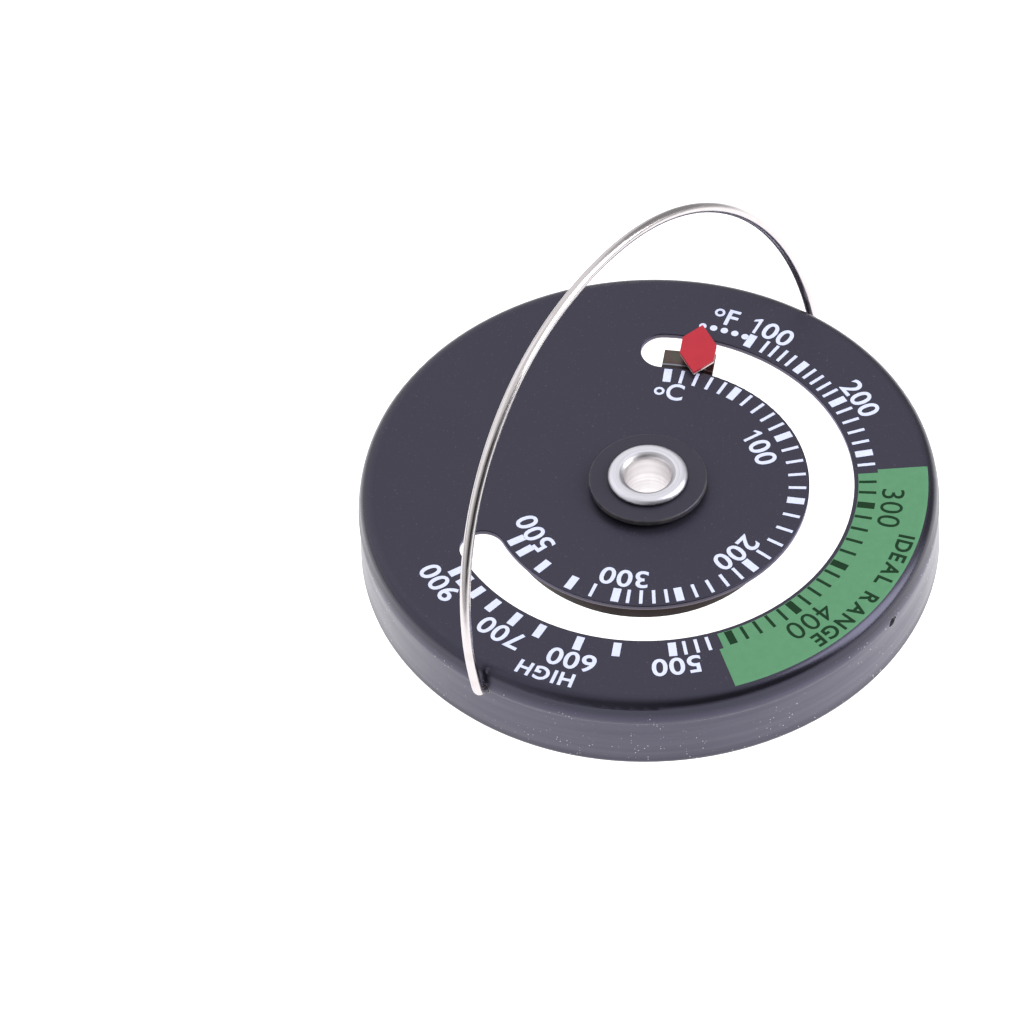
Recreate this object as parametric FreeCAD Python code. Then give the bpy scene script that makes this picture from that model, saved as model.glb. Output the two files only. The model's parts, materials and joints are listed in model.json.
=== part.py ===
import FreeCAD, Part
import math
import os

# Magnetic surface thermometer with a bimetal coil.
#
# A pressed steel case carries the printed dial. A hollow rivet on the centre
# line holds a washer in front of the dial and the coil hub, the magnet and its
# pole plate behind it. The coil's outer end turns a red flag that shows through
# a curved slot, and a wire bail swings in two holes of the skirt.
#
# Millimetres and degrees. +Z points out of the dial. The origin is the centre
# of the magnet's contact face, the surface that sits on the stove.
# Azimuths are counted anticlockwise from +X, looking down on the dial.

Vector = FreeCAD.Vector
AXIS_Z = Vector(0, 0, 1)

# ---- Driving dimensions ------------------------------------------------------

# Case: one drawn cup of sheet steel, open at the back.
DIAL_Z = 10.0             # height of the dial face above the contact face
SHEET_T = 0.6             # thickness of the sheet
CASE_R = 31.5             # outside radius of the skirt, 63 mm across
SHOULDER_R = 1.45         # outside radius of the bend between dial and skirt
SHOULDER_TURN = 75.0      # angle that it turns before the gentler curve below it
CREASE_Z = 7.0            # height of the crease where that curve turns upright
CREASE_STEP = 0.12        # how far the skirt draws in just below the crease
LIP_Z = 0.3               # height of the skirt's rolled edge above the stove
LIP_R = 0.8               # outside radius of the rolled edge

# Curved slot in the dial.
SLOT_INNER_R = 17.45
SLOT_OUTER_R = 22.30
SLOT_COLD_AZ = 83.8       # centre of the rounded end at the cold end
SLOT_HOT_AZ = -155.6      # centre of the rounded end at the hot end
PUNCH_ROUND = 0.12        # rounding that the punch leaves on the slot's edge

# Bail: a loop of round wire hinged on a chord through the centre line.
BAIL_AXIS_AZ = 54.6
BAIL_LEAN = 12.4          # how far the loop leans back from upright
WIRE_R = 0.575
BAIL_HALF_SPAN = 32.4     # centre line of each leg from the middle
BAIL_LEG = 1.3            # height at which each leg starts to curve
BAIL_SIDE_R = 31.2        # radius of the loop's two sides
BAIL_SIDE_TURN = 80.0     # angle that each side turns through
BAIL_BEND_R = 1.0         # bend between a leg and its pin
BAIL_PIN_END_R = 29.6     # where each pin ends inside the skirt
HINGE_CLEARANCE = 0.08    # radial clearance of the pin in its hole
SKIRT_HOLES = 4           # two for the bail, two spare

# Stack on the centre line, from the front to the back.
EYELET_BORE_R = 2.5
EYELET_TUBE_R = 3.0
EYELET_FRONT_R = 4.35
EYELET_FRONT_RIM = 0.6    # rounding of the front flange's edge
EYELET_TOP_Z = 12.0
EYELET_REAR_R = 4.1
EYELET_REAR_RIM = 0.5
EYELET_REAR_Z = 0.7
FIT = 0.05                # radial clearance of every piece on the rivet's tube
WASHER_R = 6.42
WASHER_T = 0.75
WASHER_ROUND = 0.2        # rounding of the washer's rim, and of the pole plate's
SHIM_R = 4.6
SHIM_T = 0.45
HUB_R = 4.6
PLATE_R = 8.5
PLATE_T = 0.8
MAGNET_R = 8.0
MAGNET_T = 4.0
MAGNET_ROUND = 0.3
COUNTERBORE_R = 4.7
COUNTERBORE_DEPTH = 1.9
REAR_WASHER_R = 4.4
REAR_WASHER_T = 0.5

# Bimetal coil: a flat spiral strip standing on edge.
STRIP_T = 0.5
STRIP_TOP_Z = 9.0
STRIP_BOTTOM_Z = 6.0
COIL_PITCH = 2.9
COIL_HALF_TURNS = 8
COIL_END_AZ = 66.0
COIL_END_R = 17.1         # outer face of the strip at its outer end
TANG_INNER_R = 3.85       # how far the inner end reaches into the hub
HUB_SLIT_R = 3.75
HUB_SLIT_WIDTH = 0.6

# Pointer: a bracket on the coil's outer end, a stud and the flag.
FLAG_R = 19.95            # distance of the flag's middle from the centre line
FLAG_AZ = 72.5
FLAG_TWIST = 7.7          # the flag stands a little askew to its radius
FLAG_HALF_LENGTH = 3.56
FLAG_HALF_WIDTH = 1.93
FLAG_HALF_SIDE = 1.12
FLAG_SKEW = 0.36          # the two long sides are cut a little out of step
FLAG_T = 0.45
FLAG_GAP = 0.4            # air between the flag and the dial
BRACKET_T = 0.4
BRACKET_TOP_Z = 9.15
BRACKET_FOOT_Z = 6.2
BRACKET_INNER = 2.64      # from the flag's middle in to the bracket's inner face
BRACKET_OUTER = 0.94      # from the flag's middle out to the tab's end
BRACKET_LEFT = 3.85
BRACKET_RIGHT = 1.82
BRACKET_BEND_R = 0.55
STUD_SHOULDER_R = 1.05
STUD_SHANK_R = 0.7
STUD_HEAD_R = 1.3
STUD_HEAD_T = 0.4
STUD_FIT = 0.02

# ---- Heights worked out from the driving dimensions --------------------------

DIAL_BACK_Z = DIAL_Z - SHEET_T
WASHER_BOTTOM_Z = DIAL_Z + SHIM_T
WASHER_TOP_Z = WASHER_BOTTOM_Z + WASHER_T
PLATE_TOP_Z = MAGNET_T + PLATE_T
REAR_WASHER_Z = COUNTERBORE_DEPTH - REAR_WASHER_T
TUBE_HOLE_R = EYELET_TUBE_R + FIT
FLAG_BOTTOM_Z = DIAL_Z + FLAG_GAP


# ---- Helpers -----------------------------------------------------------------

def at(radius, height):
    """Point of a half section: distance from the centre line, and height."""
    return Vector(radius, 0, height)


def polar(radius, azimuth, height=0.0):
    angle = math.radians(azimuth)
    return Vector(radius * math.cos(angle), radius * math.sin(angle), height)


def line(start, end):
    return Part.makeLine(start, end)


def arc(start, middle, end):
    return Part.Arc(start, middle, end).toShape()


def corner_arc(centre, radius, start_angle, end_angle):
    """Arc of a half section about a centre, angles from +X towards +Z."""
    points = []
    for angle in (start_angle, (start_angle + end_angle) / 2, end_angle):
        turn = math.radians(angle)
        step = Vector(radius * math.cos(turn), 0, radius * math.sin(turn))
        points.append(centre + step)
    return arc(*points)


def revolved(edges):
    """Solid of revolution about the centre line from a closed half section."""
    face = Part.Face(Part.Wire(edges))
    return face.revolve(Vector(0, 0, 0), AXIS_Z, 360)


def ring(outer_r, inner_r, bottom_z, top_z):
    height = top_z - bottom_z
    base = Vector(0, 0, bottom_z)
    outer = Part.makeCylinder(outer_r, height, base)
    return outer.cut(Part.makeCylinder(inner_r, height, base))


def rounded_ring(outer_r, inner_r, bottom_z, top_z, radius):
    """Ring whose outer rim is rounded at the top and at the bottom."""
    solid = ring(outer_r, inner_r, bottom_z, top_z)
    rims = [e for e in solid.Edges if is_rim(e, outer_r)]
    return solid.makeFillet(radius, rims)


def is_rim(edge, radius):
    curve = edge.Curve
    return isinstance(curve, Part.Circle) and abs(curve.Radius - radius) < 1e-6


# ---- Case --------------------------------------------------------------------

def cup():
    """Dial, shoulder, skirt and rolled edge as one sheet of even thickness.

    The shoulder is a tight bend that runs tangent into a gentler curve, which
    ends upright at the crease.
    """
    hole_r = TUBE_HOLE_R
    rest = 90 - SHOULDER_TURN
    bend_drop = SHOULDER_R * (1 - math.cos(math.radians(SHOULDER_TURN)))
    curve_r = (DIAL_Z - bend_drop - CREASE_Z) / math.sin(math.radians(rest))
    curve = at(CASE_R - curve_r, CREASE_Z)
    centre_gap = (curve_r - SHOULDER_R) * math.cos(math.radians(rest))
    shoulder = at(CASE_R - curve_r + centre_gap, DIAL_Z - SHOULDER_R)
    lip = at(CASE_R - LIP_R, LIP_Z + LIP_R)
    inner_shoulder_r = SHOULDER_R - SHEET_T
    inner_curve_r = curve_r - SHEET_T
    inner_lip_r = LIP_R - SHEET_T
    crease = at(CASE_R, CREASE_Z)
    inner_crease = crease - at(SHEET_T, 0)
    step = at(-CREASE_STEP, -1.5 * CREASE_STEP)
    edges = [
        line(at(hole_r, DIAL_Z), shoulder + at(0, SHOULDER_R)),
        corner_arc(shoulder, SHOULDER_R, 90, rest),
        corner_arc(curve, curve_r, rest, 0),
        line(crease, crease + step),
        line(crease + step, lip + at(LIP_R, 0)),
        corner_arc(lip, LIP_R, 0, -90),
        line(lip - at(0, LIP_R), lip - at(0, inner_lip_r)),
        corner_arc(lip, inner_lip_r, -90, 0),
        line(lip + at(inner_lip_r, 0), inner_crease + step),
        line(inner_crease + step, inner_crease),
        corner_arc(curve, inner_curve_r, 0, rest),
        corner_arc(shoulder, inner_shoulder_r, rest, 90),
        line(shoulder + at(0, inner_shoulder_r), at(hole_r, DIAL_BACK_Z)),
        line(at(hole_r, DIAL_BACK_Z), at(hole_r, DIAL_Z)),
    ]
    return revolved(edges)


def slot_cutter():
    """The curved slot, rounded at both ends, as a solid through the dial."""
    middle_r = (SLOT_INNER_R + SLOT_OUTER_R) / 2
    end_r = (SLOT_OUTER_R - SLOT_INNER_R) / 2
    middle_az = (SLOT_COLD_AZ + SLOT_HOT_AZ) / 2
    bottom = DIAL_BACK_Z - SHEET_T
    end_turn = math.degrees(end_r / middle_r)
    cold_tip = polar(middle_r, SLOT_COLD_AZ + end_turn, bottom)
    hot_tip = polar(middle_r, SLOT_HOT_AZ - end_turn, bottom)
    outer = [polar(SLOT_OUTER_R, az, bottom) for az in (SLOT_COLD_AZ, middle_az, SLOT_HOT_AZ)]
    inner = [polar(SLOT_INNER_R, az, bottom) for az in (SLOT_HOT_AZ, middle_az, SLOT_COLD_AZ)]
    edges = [
        arc(*outer),
        arc(outer[2], hot_tip, inner[0]),
        arc(*inner),
        arc(inner[2], cold_tip, outer[0]),
    ]
    return Part.Face(Part.Wire(edges)).extrude(AXIS_Z * (3 * SHEET_T))


def skirt_hole(azimuth):
    wall = 3 * SHEET_T
    start = polar(CASE_R - wall, azimuth, CREASE_Z)
    return Part.makeCylinder(WIRE_R + HINGE_CLEARANCE, 2 * wall, start, polar(1, azimuth))


def round_slot_edge(case):
    """Round the slot's upper edge the way the punch leaves it."""
    edges = []
    for edge in case.Edges:
        points = [vertex.Point for vertex in edge.Vertexes]
        on_face = all(abs(point.z - DIAL_Z) < 1e-6 for point in points)
        in_band = all(SLOT_INNER_R - 0.1 < math.hypot(p.x, p.y) < SLOT_OUTER_R + 0.1 for p in points)
        if on_face and in_band:
            edges.append(edge)
    return case.makeFillet(PUNCH_ROUND, edges)


def dial_case():
    case = cup().cut(slot_cutter())
    for number in range(SKIRT_HOLES):
        case = case.cut(skirt_hole(BAIL_AXIS_AZ + number * 360 / SKIRT_HOLES))
    return round_slot_edge(case)


# ---- Bail --------------------------------------------------------------------

def bail_path():
    """Centre line of the wire in its own plane, hinge axis along X, loop up Z."""
    span = BAIL_HALF_SPAN
    turn = math.radians(BAIL_SIDE_TURN)
    top_r = BAIL_SIDE_R - (BAIL_SIDE_R - span) / math.cos(turn)
    side_centre = at(span - BAIL_SIDE_R, BAIL_LEG)
    top_centre = at(0, BAIL_LEG + (BAIL_SIDE_R - top_r) * math.sin(turn))
    bend_centre = at(span - BAIL_BEND_R, BAIL_BEND_R)
    right = [
        line(at(BAIL_PIN_END_R, 0), bend_centre - at(0, BAIL_BEND_R)),
        corner_arc(bend_centre, BAIL_BEND_R, -90, 0),
        line(bend_centre + at(BAIL_BEND_R, 0), at(span, BAIL_LEG)),
        corner_arc(side_centre, BAIL_SIDE_R, 0, BAIL_SIDE_TURN),
    ]
    top = corner_arc(top_centre, top_r, BAIL_SIDE_TURN, 180 - BAIL_SIDE_TURN)
    left = [edge.mirror(Vector(0, 0, 0), Vector(1, 0, 0)) for edge in reversed(right)]
    return Part.Wire(Part.sortEdges(right + [top] + left)[0])


def bail_wire():
    path = bail_path()
    section = Part.Wire(Part.makeCircle(WIRE_R, at(BAIL_PIN_END_R, 0), Vector(1, 0, 0)))
    wire = path.makePipeShell([section], True, False)
    wire.rotate(Vector(0, 0, 0), Vector(1, 0, 0), -BAIL_LEAN)
    wire.rotate(Vector(0, 0, 0), AXIS_Z, BAIL_AXIS_AZ)
    wire.translate(Vector(0, 0, CREASE_Z))
    return wire


# ---- Centre stack ------------------------------------------------------------

def front_washer():
    return rounded_ring(WASHER_R, TUBE_HOLE_R, WASHER_BOTTOM_Z, WASHER_TOP_Z, WASHER_ROUND)


def spacer_shim():
    return ring(SHIM_R, TUBE_HOLE_R, DIAL_Z, WASHER_BOTTOM_Z)


def centre_eyelet():
    """Hollow rivet: a tube with a curled flange at each end."""
    front_curl = EYELET_TOP_Z - WASHER_TOP_Z
    front_foot = front_curl - EYELET_FRONT_RIM
    rear_curl = REAR_WASHER_Z - EYELET_REAR_Z
    rear_foot = rear_curl - EYELET_REAR_RIM
    front_mouth = at(EYELET_BORE_R + front_curl, WASHER_TOP_Z)
    rear_mouth = at(EYELET_BORE_R + rear_curl, REAR_WASHER_Z)
    front_edge = at(EYELET_FRONT_R - EYELET_FRONT_RIM, EYELET_TOP_Z - EYELET_FRONT_RIM)
    rear_edge = at(EYELET_REAR_R - EYELET_REAR_RIM, EYELET_REAR_Z + EYELET_REAR_RIM)
    edges = [
        line(at(EYELET_BORE_R, REAR_WASHER_Z), at(EYELET_BORE_R, WASHER_TOP_Z)),
        corner_arc(front_mouth, front_curl, 180, 90),
        line(front_mouth + at(0, front_curl), front_edge + at(0, EYELET_FRONT_RIM)),
        corner_arc(front_edge, EYELET_FRONT_RIM, 90, 0),
        line(front_edge + at(EYELET_FRONT_RIM, 0), at(EYELET_FRONT_R - front_foot, WASHER_TOP_Z)),
        line(at(EYELET_FRONT_R - front_foot, WASHER_TOP_Z), at(EYELET_TUBE_R, WASHER_TOP_Z)),
        line(at(EYELET_TUBE_R, WASHER_TOP_Z), at(EYELET_TUBE_R, REAR_WASHER_Z)),
        line(at(EYELET_TUBE_R, REAR_WASHER_Z), at(EYELET_REAR_R - rear_foot, REAR_WASHER_Z)),
        line(at(EYELET_REAR_R - rear_foot, REAR_WASHER_Z), rear_edge + at(EYELET_REAR_RIM, 0)),
        corner_arc(rear_edge, EYELET_REAR_RIM, 0, -90),
        line(rear_edge - at(0, EYELET_REAR_RIM), rear_mouth - at(0, rear_curl)),
        corner_arc(rear_mouth, rear_curl, -90, -180),
    ]
    return revolved(edges)


def coil_hub():
    """Bush that spaces the dial from the magnet, slit for the coil's inner end."""
    hub = ring(HUB_R, TUBE_HOLE_R, PLATE_TOP_Z, DIAL_BACK_Z)
    length = HUB_R
    height = DIAL_BACK_Z - PLATE_TOP_Z
    slit = Part.makeBox(length, HUB_SLIT_WIDTH, height)
    slit.translate(Vector(HUB_SLIT_R, (STRIP_T - HUB_SLIT_WIDTH) / 2, PLATE_TOP_Z))
    slit.rotate(Vector(0, 0, 0), AXIS_Z, COIL_END_AZ)
    return hub.cut(slit)


def magnet_plate():
    return rounded_ring(PLATE_R, TUBE_HOLE_R, MAGNET_T, PLATE_TOP_Z, WASHER_ROUND)


def ring_magnet():
    magnet = rounded_ring(MAGNET_R, TUBE_HOLE_R, 0, MAGNET_T, MAGNET_ROUND)
    return magnet.cut(Part.makeCylinder(COUNTERBORE_R, COUNTERBORE_DEPTH))


def rear_washer():
    return ring(REAR_WASHER_R, TUBE_HOLE_R, REAR_WASHER_Z, COUNTERBORE_DEPTH)


# ---- Bimetal coil ------------------------------------------------------------

def spiral_edges(offset):
    """Half circles about two centres in turn, which wind outward clockwise.

    They join on the line at COIL_END_AZ. offset moves the line off the strip's
    middle, out for the outer face and in for the inner face.
    """
    half_growth = COIL_PITCH / 2
    last_r = COIL_END_R - STRIP_T / 2 - COIL_PITCH / 4
    edges = []
    for number in range(COIL_HALF_TURNS):
        outward = 1 if number % 2 == 0 else -1
        centre = polar(-outward * COIL_PITCH / 4, COIL_END_AZ, STRIP_BOTTOM_Z)
        radius = last_r - (COIL_HALF_TURNS - 1 - number) * half_growth + offset
        start_az = COIL_END_AZ if outward == 1 else COIL_END_AZ + 180
        points = [centre + polar(radius, start_az - turn) for turn in (0, 90, 180)]
        edges.append(arc(*points))
    return edges


def bimetal_coil():
    outer = spiral_edges(STRIP_T / 2)
    inner = spiral_edges(-STRIP_T / 2)
    outer_start = outer[0].Vertexes[0].Point
    inner_start = inner[0].Vertexes[0].Point
    outer_end = outer[-1].Vertexes[-1].Point
    inner_end = inner[-1].Vertexes[-1].Point
    caps = [line(outer_start, inner_start), line(outer_end, inner_end)]
    outline = Part.Wire(Part.sortEdges(outer + inner + caps)[0])
    height = STRIP_TOP_Z - STRIP_BOTTOM_Z
    strip = Part.Face(outline).extrude(AXIS_Z * height)
    tang_length = math.hypot(outer_start.x, outer_start.y) - TANG_INNER_R
    tang = Part.makeBox(tang_length, STRIP_T, height)
    tang.translate(Vector(TANG_INNER_R, 0, STRIP_BOTTOM_Z))
    tang.rotate(Vector(0, 0, 0), AXIS_Z, COIL_END_AZ)
    return strip.fuse(tang).removeSplitter()


# ---- Pointer -----------------------------------------------------------------

def place_at_flag(shape):
    """Move a shape from the flag's own axes (Y outward along the flag) into place."""
    shape.rotate(Vector(0, 0, 0), AXIS_Z, FLAG_AZ + FLAG_TWIST - 90)
    shape.translate(polar(FLAG_R, FLAG_AZ))
    return shape


def pointer_bracket():
    """Folded tab: a flange on the coil's outer end and a shelf under the slot."""
    def section(outward, height):
        return Vector(-BRACKET_LEFT, outward, height)

    top = BRACKET_TOP_Z
    inside = -BRACKET_INNER
    bend = BRACKET_BEND_R
    inner_bend = bend - BRACKET_T
    diagonal = math.sqrt(0.5)
    outer_mid = section(inside + bend - bend * diagonal, top - bend + bend * diagonal)
    inner_mid = section(inside + bend - inner_bend * diagonal, top - bend + inner_bend * diagonal)
    edges = [
        line(section(inside, BRACKET_FOOT_Z), section(inside, top - bend)),
        arc(section(inside, top - bend), outer_mid, section(inside + bend, top)),
        line(section(inside + bend, top), section(BRACKET_OUTER, top)),
        line(section(BRACKET_OUTER, top), section(BRACKET_OUTER, top - BRACKET_T)),
        line(section(BRACKET_OUTER, top - BRACKET_T), section(inside + bend, top - BRACKET_T)),
        arc(section(inside + bend, top - BRACKET_T), inner_mid,
            section(inside + BRACKET_T, top - bend)),
        line(section(inside + BRACKET_T, top - bend), section(inside + BRACKET_T, BRACKET_FOOT_Z)),
        line(section(inside + BRACKET_T, BRACKET_FOOT_Z), section(inside, BRACKET_FOOT_Z)),
    ]
    width = BRACKET_LEFT + BRACKET_RIGHT
    bracket = Part.Face(Part.Wire(edges)).extrude(Vector(width, 0, 0))
    hole = Part.makeCylinder(STUD_SHANK_R + STUD_FIT, 2 * BRACKET_T, Vector(0, 0, top - 1.5 * BRACKET_T))
    return place_at_flag(bracket.cut(hole))


def flag_stud():
    """Shouldered stud that carries the flag through the slot."""
    tab_bottom = BRACKET_TOP_Z - BRACKET_T
    head = Part.makeCylinder(STUD_HEAD_R, STUD_HEAD_T, Vector(0, 0, tab_bottom - STUD_HEAD_T))
    shank = Part.makeCylinder(STUD_SHANK_R, BRACKET_T, Vector(0, 0, tab_bottom))
    reach = FLAG_BOTTOM_Z - BRACKET_TOP_Z
    shoulder = Part.makeCylinder(STUD_SHOULDER_R, reach, Vector(0, 0, BRACKET_TOP_Z))
    return place_at_flag(head.fuse(shank).fuse(shoulder).removeSplitter())


def pointer_flag():
    """Long hexagon with its points towards and away from the centre line."""
    corners = [
        (0, FLAG_HALF_LENGTH),
        (FLAG_HALF_WIDTH, FLAG_HALF_SIDE - FLAG_SKEW),
        (FLAG_HALF_WIDTH, -FLAG_HALF_SIDE - FLAG_SKEW),
        (0, -FLAG_HALF_LENGTH),
        (-FLAG_HALF_WIDTH, -FLAG_HALF_SIDE + FLAG_SKEW),
        (-FLAG_HALF_WIDTH, FLAG_HALF_SIDE + FLAG_SKEW),
    ]
    points = [Vector(x, y, FLAG_BOTTOM_Z) for x, y in corners]
    outline = Part.makePolygon(points + points[:1])
    return place_at_flag(Part.Face(outline).extrude(AXIS_Z * FLAG_T))


# ---- Export ------------------------------------------------------------------

NODES = {
    "dial_case": dial_case,
    "bail_wire": bail_wire,
    "front_washer": front_washer,
    "spacer_shim": spacer_shim,
    "centre_eyelet": centre_eyelet,
    "coil_hub": coil_hub,
    "bimetal_coil": bimetal_coil,
    "pointer_bracket": pointer_bracket,
    "flag_stud": flag_stud,
    "pointer_flag": pointer_flag,
    "magnet_plate": magnet_plate,
    "ring_magnet": ring_magnet,
    "rear_washer": rear_washer,
}

os.makedirs("parts", exist_ok=True)
for name, build in NODES.items():
    shape = build()
    shape.exportStep("parts/" + name + ".step")
    box = shape.BoundBox
    print(f"{name}: valid {shape.isValid()}, solids {len(shape.Solids)}, volume {shape.Volume:.2f} mm3,",
          f"z {box.ZMin:.2f} to {box.ZMax:.2f}")
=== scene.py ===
import json
import math

import bmesh
import bpy
from mathutils import Matrix, Quaternion, Vector


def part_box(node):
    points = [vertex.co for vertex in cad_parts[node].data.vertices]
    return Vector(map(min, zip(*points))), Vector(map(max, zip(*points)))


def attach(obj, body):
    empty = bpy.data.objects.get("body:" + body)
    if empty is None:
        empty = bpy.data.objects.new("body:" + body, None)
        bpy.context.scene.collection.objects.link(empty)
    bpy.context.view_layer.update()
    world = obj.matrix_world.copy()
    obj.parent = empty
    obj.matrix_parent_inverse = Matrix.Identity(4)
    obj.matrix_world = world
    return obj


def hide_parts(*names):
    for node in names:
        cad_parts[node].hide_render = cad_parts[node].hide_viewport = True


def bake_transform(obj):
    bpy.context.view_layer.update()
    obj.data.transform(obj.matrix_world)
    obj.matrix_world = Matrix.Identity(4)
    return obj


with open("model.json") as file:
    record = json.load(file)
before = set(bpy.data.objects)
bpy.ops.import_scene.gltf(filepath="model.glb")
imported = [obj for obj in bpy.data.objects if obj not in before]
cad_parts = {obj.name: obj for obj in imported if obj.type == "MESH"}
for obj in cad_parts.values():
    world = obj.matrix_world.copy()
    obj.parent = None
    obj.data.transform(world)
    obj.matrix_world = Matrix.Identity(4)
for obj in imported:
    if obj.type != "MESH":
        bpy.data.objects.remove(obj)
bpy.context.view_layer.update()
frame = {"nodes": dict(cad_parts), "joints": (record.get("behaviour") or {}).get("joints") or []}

# Magnetic surface thermometer. The imported CAD nodes stay in place and get their
# finishes here. This script adds the printed dial, which is thin raised ink, and a
# finely divided bimetal coil.
#
# Everything is in metres. Azimuths are in degrees, anticlockwise from +X seen from
# above, and the scales run clockwise.

MM = 0.001

DIAL_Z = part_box("dial_case")[1].z
CENTRE = Vector((0, 0, DIAL_Z))
FLAT_RADIUS = 29.85 * MM         # the dial is flat out to here
BEND_RADIUS = 1.45 * MM          # then it bends down

# ---- Printed dial ------------------------------------------------------------

INK_SINK = 0.005 * MM            # the ink's underside lies this far inside the paint
INK_TOP = 0.014 * MM             # white and green ink
OVERPRINT_TOP = 0.022 * MM       # dark ink on the green zone

WIDE_MARK = 0.87 * MM
FINE_MARK = 0.37 * MM
MARK_LENGTH = 1.9 * MM
FAHRENHEIT_RADIUS = 23.76 * MM
CELSIUS_RADIUS = 16.16 * MM
FINE_MARKS = 4                   # between two wide marks

# Each span of a scale: azimuth of its wide mark, of its first fine mark and of its
# last fine mark.
FAHRENHEIT_LOW_SPANS = [(60.4, 56.0, 47.4), (43.8, 40.6, 31.8), (28.1, 24.5, 12.5)]
FAHRENHEIT_GREEN_SPANS = [(-9.9, -14.1, -26.9), (-31.8, -35.3, -46.8), (-50.6, -54.4, -65.9)]
FAHRENHEIT_WHITE_SINGLES = [4.4, -75.8, -78.9, -82.0]
FAHRENHEIT_GREEN_SINGLES = [-1.7, -5.4]
FAHRENHEIT_WHITE_WIDE = [8.4, -85.2, -99.6, -109.7, -120.7, -128.3, -135.8, -142.0, -147.3, -151.1]
FAHRENHEIT_GREEN_WIDE = [-69.7]
CELSIUS_SPANS = [(81.0, 75.4, 58.6), (53.1, 47.1, 29.0), (23.1, 16.2, -4.2),
                 (-10.9, -18.6, -41.3), (-48.7, -55.0, -73.5), (-79.7, -84.5, -99.0)]
CELSIUS_SINGLES = [-113.0]
CELSIUS_WIDE = [-103.8, -122.0, -136.0, -146.5, -152.8]

# Dots before the first mark of the Fahrenheit scale.
DOT_RADIUS = 24.08 * MM
DOT_SIZE = 0.82 * MM
DOTS = 5
FIRST_DOT = 74.05
DOT_STEP = -2.94

DIGIT_HEIGHT = 2.28 * MM
DIGIT_PITCH = 1.87 * MM          # from the middle of one digit to the next
DIGIT_STRETCH = 1.07             # digits are a little wider than the font's
UNIT_STRETCH = {"F": 1.0, "C": 0.88}
DARK_SCALE = 1.06                # the dark numbers are a little larger than the white ones
WHITE_WEIGHT = 0.038 * MM        # each outline of a glyph is pushed out this far
DARK_WEIGHT = 0.0

# Azimuth and radius of each number's middle.
WHITE_NUMBERS = [("100", 57.5, 26.1), ("200", 26.2, 26.2), ("500", -84.7, 26.2), ("600", -109.6, 26.25),
                 ("700", -128.5, 26.25), ("900", -150.2, 26.3),
                 ("100", 22.3, 13.25), ("200", -48.2, 13.85), ("300", -102.1, 13.7), ("500", -152.4, 14.05)]
DARK_NUMBERS = [("300", -9.9, 26.55), ("400", -50.6, 26.45)]
UNITS = [("F", 67.7, 26.1, 71.1, 26.5), ("C", 76.25, 13.85, 83.45, 13.8)]
DEGREE_OUTER = 0.58 * MM
DEGREE_INNER = 0.30 * MM

# The green zone is a ring sector whose band of marks is a little shorter.
ZONE_INNER = 22.75 * MM
ZONE_STEP = 24.9 * MM
ZONE_OUTER = 30.30 * MM
ZONE_START = 2.4
ZONE_END = -73.7
ZONE_MARKS_START = 1.3
ZONE_MARKS_END = -72.6

# Words, azimuth of their middle, radius, height and the gap between letters.
ZONE_WORDS = ("IDEAL RANGE", -35.6, 29.0 * MM, 1.70 * MM, 0.36 * MM)
HIGH_WORD = ("HIGH", -113.7, 29.0 * MM, 1.75 * MM, 0.38 * MM)
WORD_WEIGHT = 0.045 * MM
WORD_SPACE = 0.85 * MM

# ---- Bimetal coil, as the CAD node has it ------------------------------------

COIL_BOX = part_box("bimetal_coil")
STRIP_THICKNESS = 0.5 * MM
STRIP_EDGE_ROUND = 0.09 * MM
COIL_PITCH = 2.9 * MM
COIL_HALF_TURNS = 8
COIL_END_AZ = 66.0
COIL_END_RADIUS = 17.1 * MM
TANG_RADIUS = 3.85 * MM
TANG_BEND = 0.5 * MM
COIL_STEP = 4.0                  # degrees of a half turn from one section to the next

# ---- Bail hinge, as the CAD has it -------------------------------------------

BAIL_JOINT = next(joint for joint in frame["joints"] if joint["name"] == "bail_swing")
BAIL_AXIS = Vector(BAIL_JOINT["axis"])
BAIL_POINT = Vector(BAIL_JOINT["pos_m"])

# ---- Where finishes change, in millimetres -----------------------------------

# Heights on the case, each where a change starts and where it is complete.
LIP_RUBBED = (0.30, 0.50)
LIP_PAINTED_SHADE = (0.8, 2.5)
LIP_DULL = (0.5, 2.3)
SKIRT_GLOSS_END = (6.4, 8.0)
SKIRT_END = (7.6, 9.0)
BEND_BOTTOM = (7.6, 8.6)
BEND_TOP = (9.75, 9.98)
CREASE = 6.95                    # a crease runs round the skirt here
CREASE_HIGHLIGHT_HALF_WIDTH = 0.45
# Heights on the slot's edge.
SHEET_UNDERSIDE = (9.3, 9.35)
EDGE_BURR_HIGHLIGHT = (9.50, 9.60)
EDGE_TOP = (9.82, 9.92)
# Radii on the case.
SLOT_OUTSIDE = (26.0, 26.5)
SKIRT_INSIDE = (29.0, 29.5)
HOLE_BARE = (0.80, 0.88)         # from the axis of a hole
# Radii and heights on the other pieces.
WASHER_RIM = (6.2, 6.4)
EYELET_BORE = (2.55, 2.95)
EYELET_MOUTH_START = (2.58, 2.72)
EYELET_MOUTH_END = (2.95, 3.10)
EYELET_SHADE_FOOT = (3.9, 4.05)
EYELET_SHADE_FOOT_TOP = (11.62, 11.78)
TAB_BEND_HIGHLIGHT = 18.61                 # radius of the bright line on the pointer's tab
FLAG_BARE_AND_HIGHLIGHT = (0.14, 0.24)         # above the flag's underside

# ---- Camera and light --------------------------------------------------------

CAMERA_ELEVATION = 48.04
CAMERA_DISTANCE = 0.9973
CAMERA_ROLL = 2.0
LENS = 324.06                    # millimetres, as is the sensor
SENSOR = 36.0
DIAL_RIGHT_OF_MIDDLE = 0.1329    # of the frame's width
DIAL_ABOVE_MIDDLE = 0.0266

ROOM_LEVEL = 0.93
ROOM_DARKEST = 0.03
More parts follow.
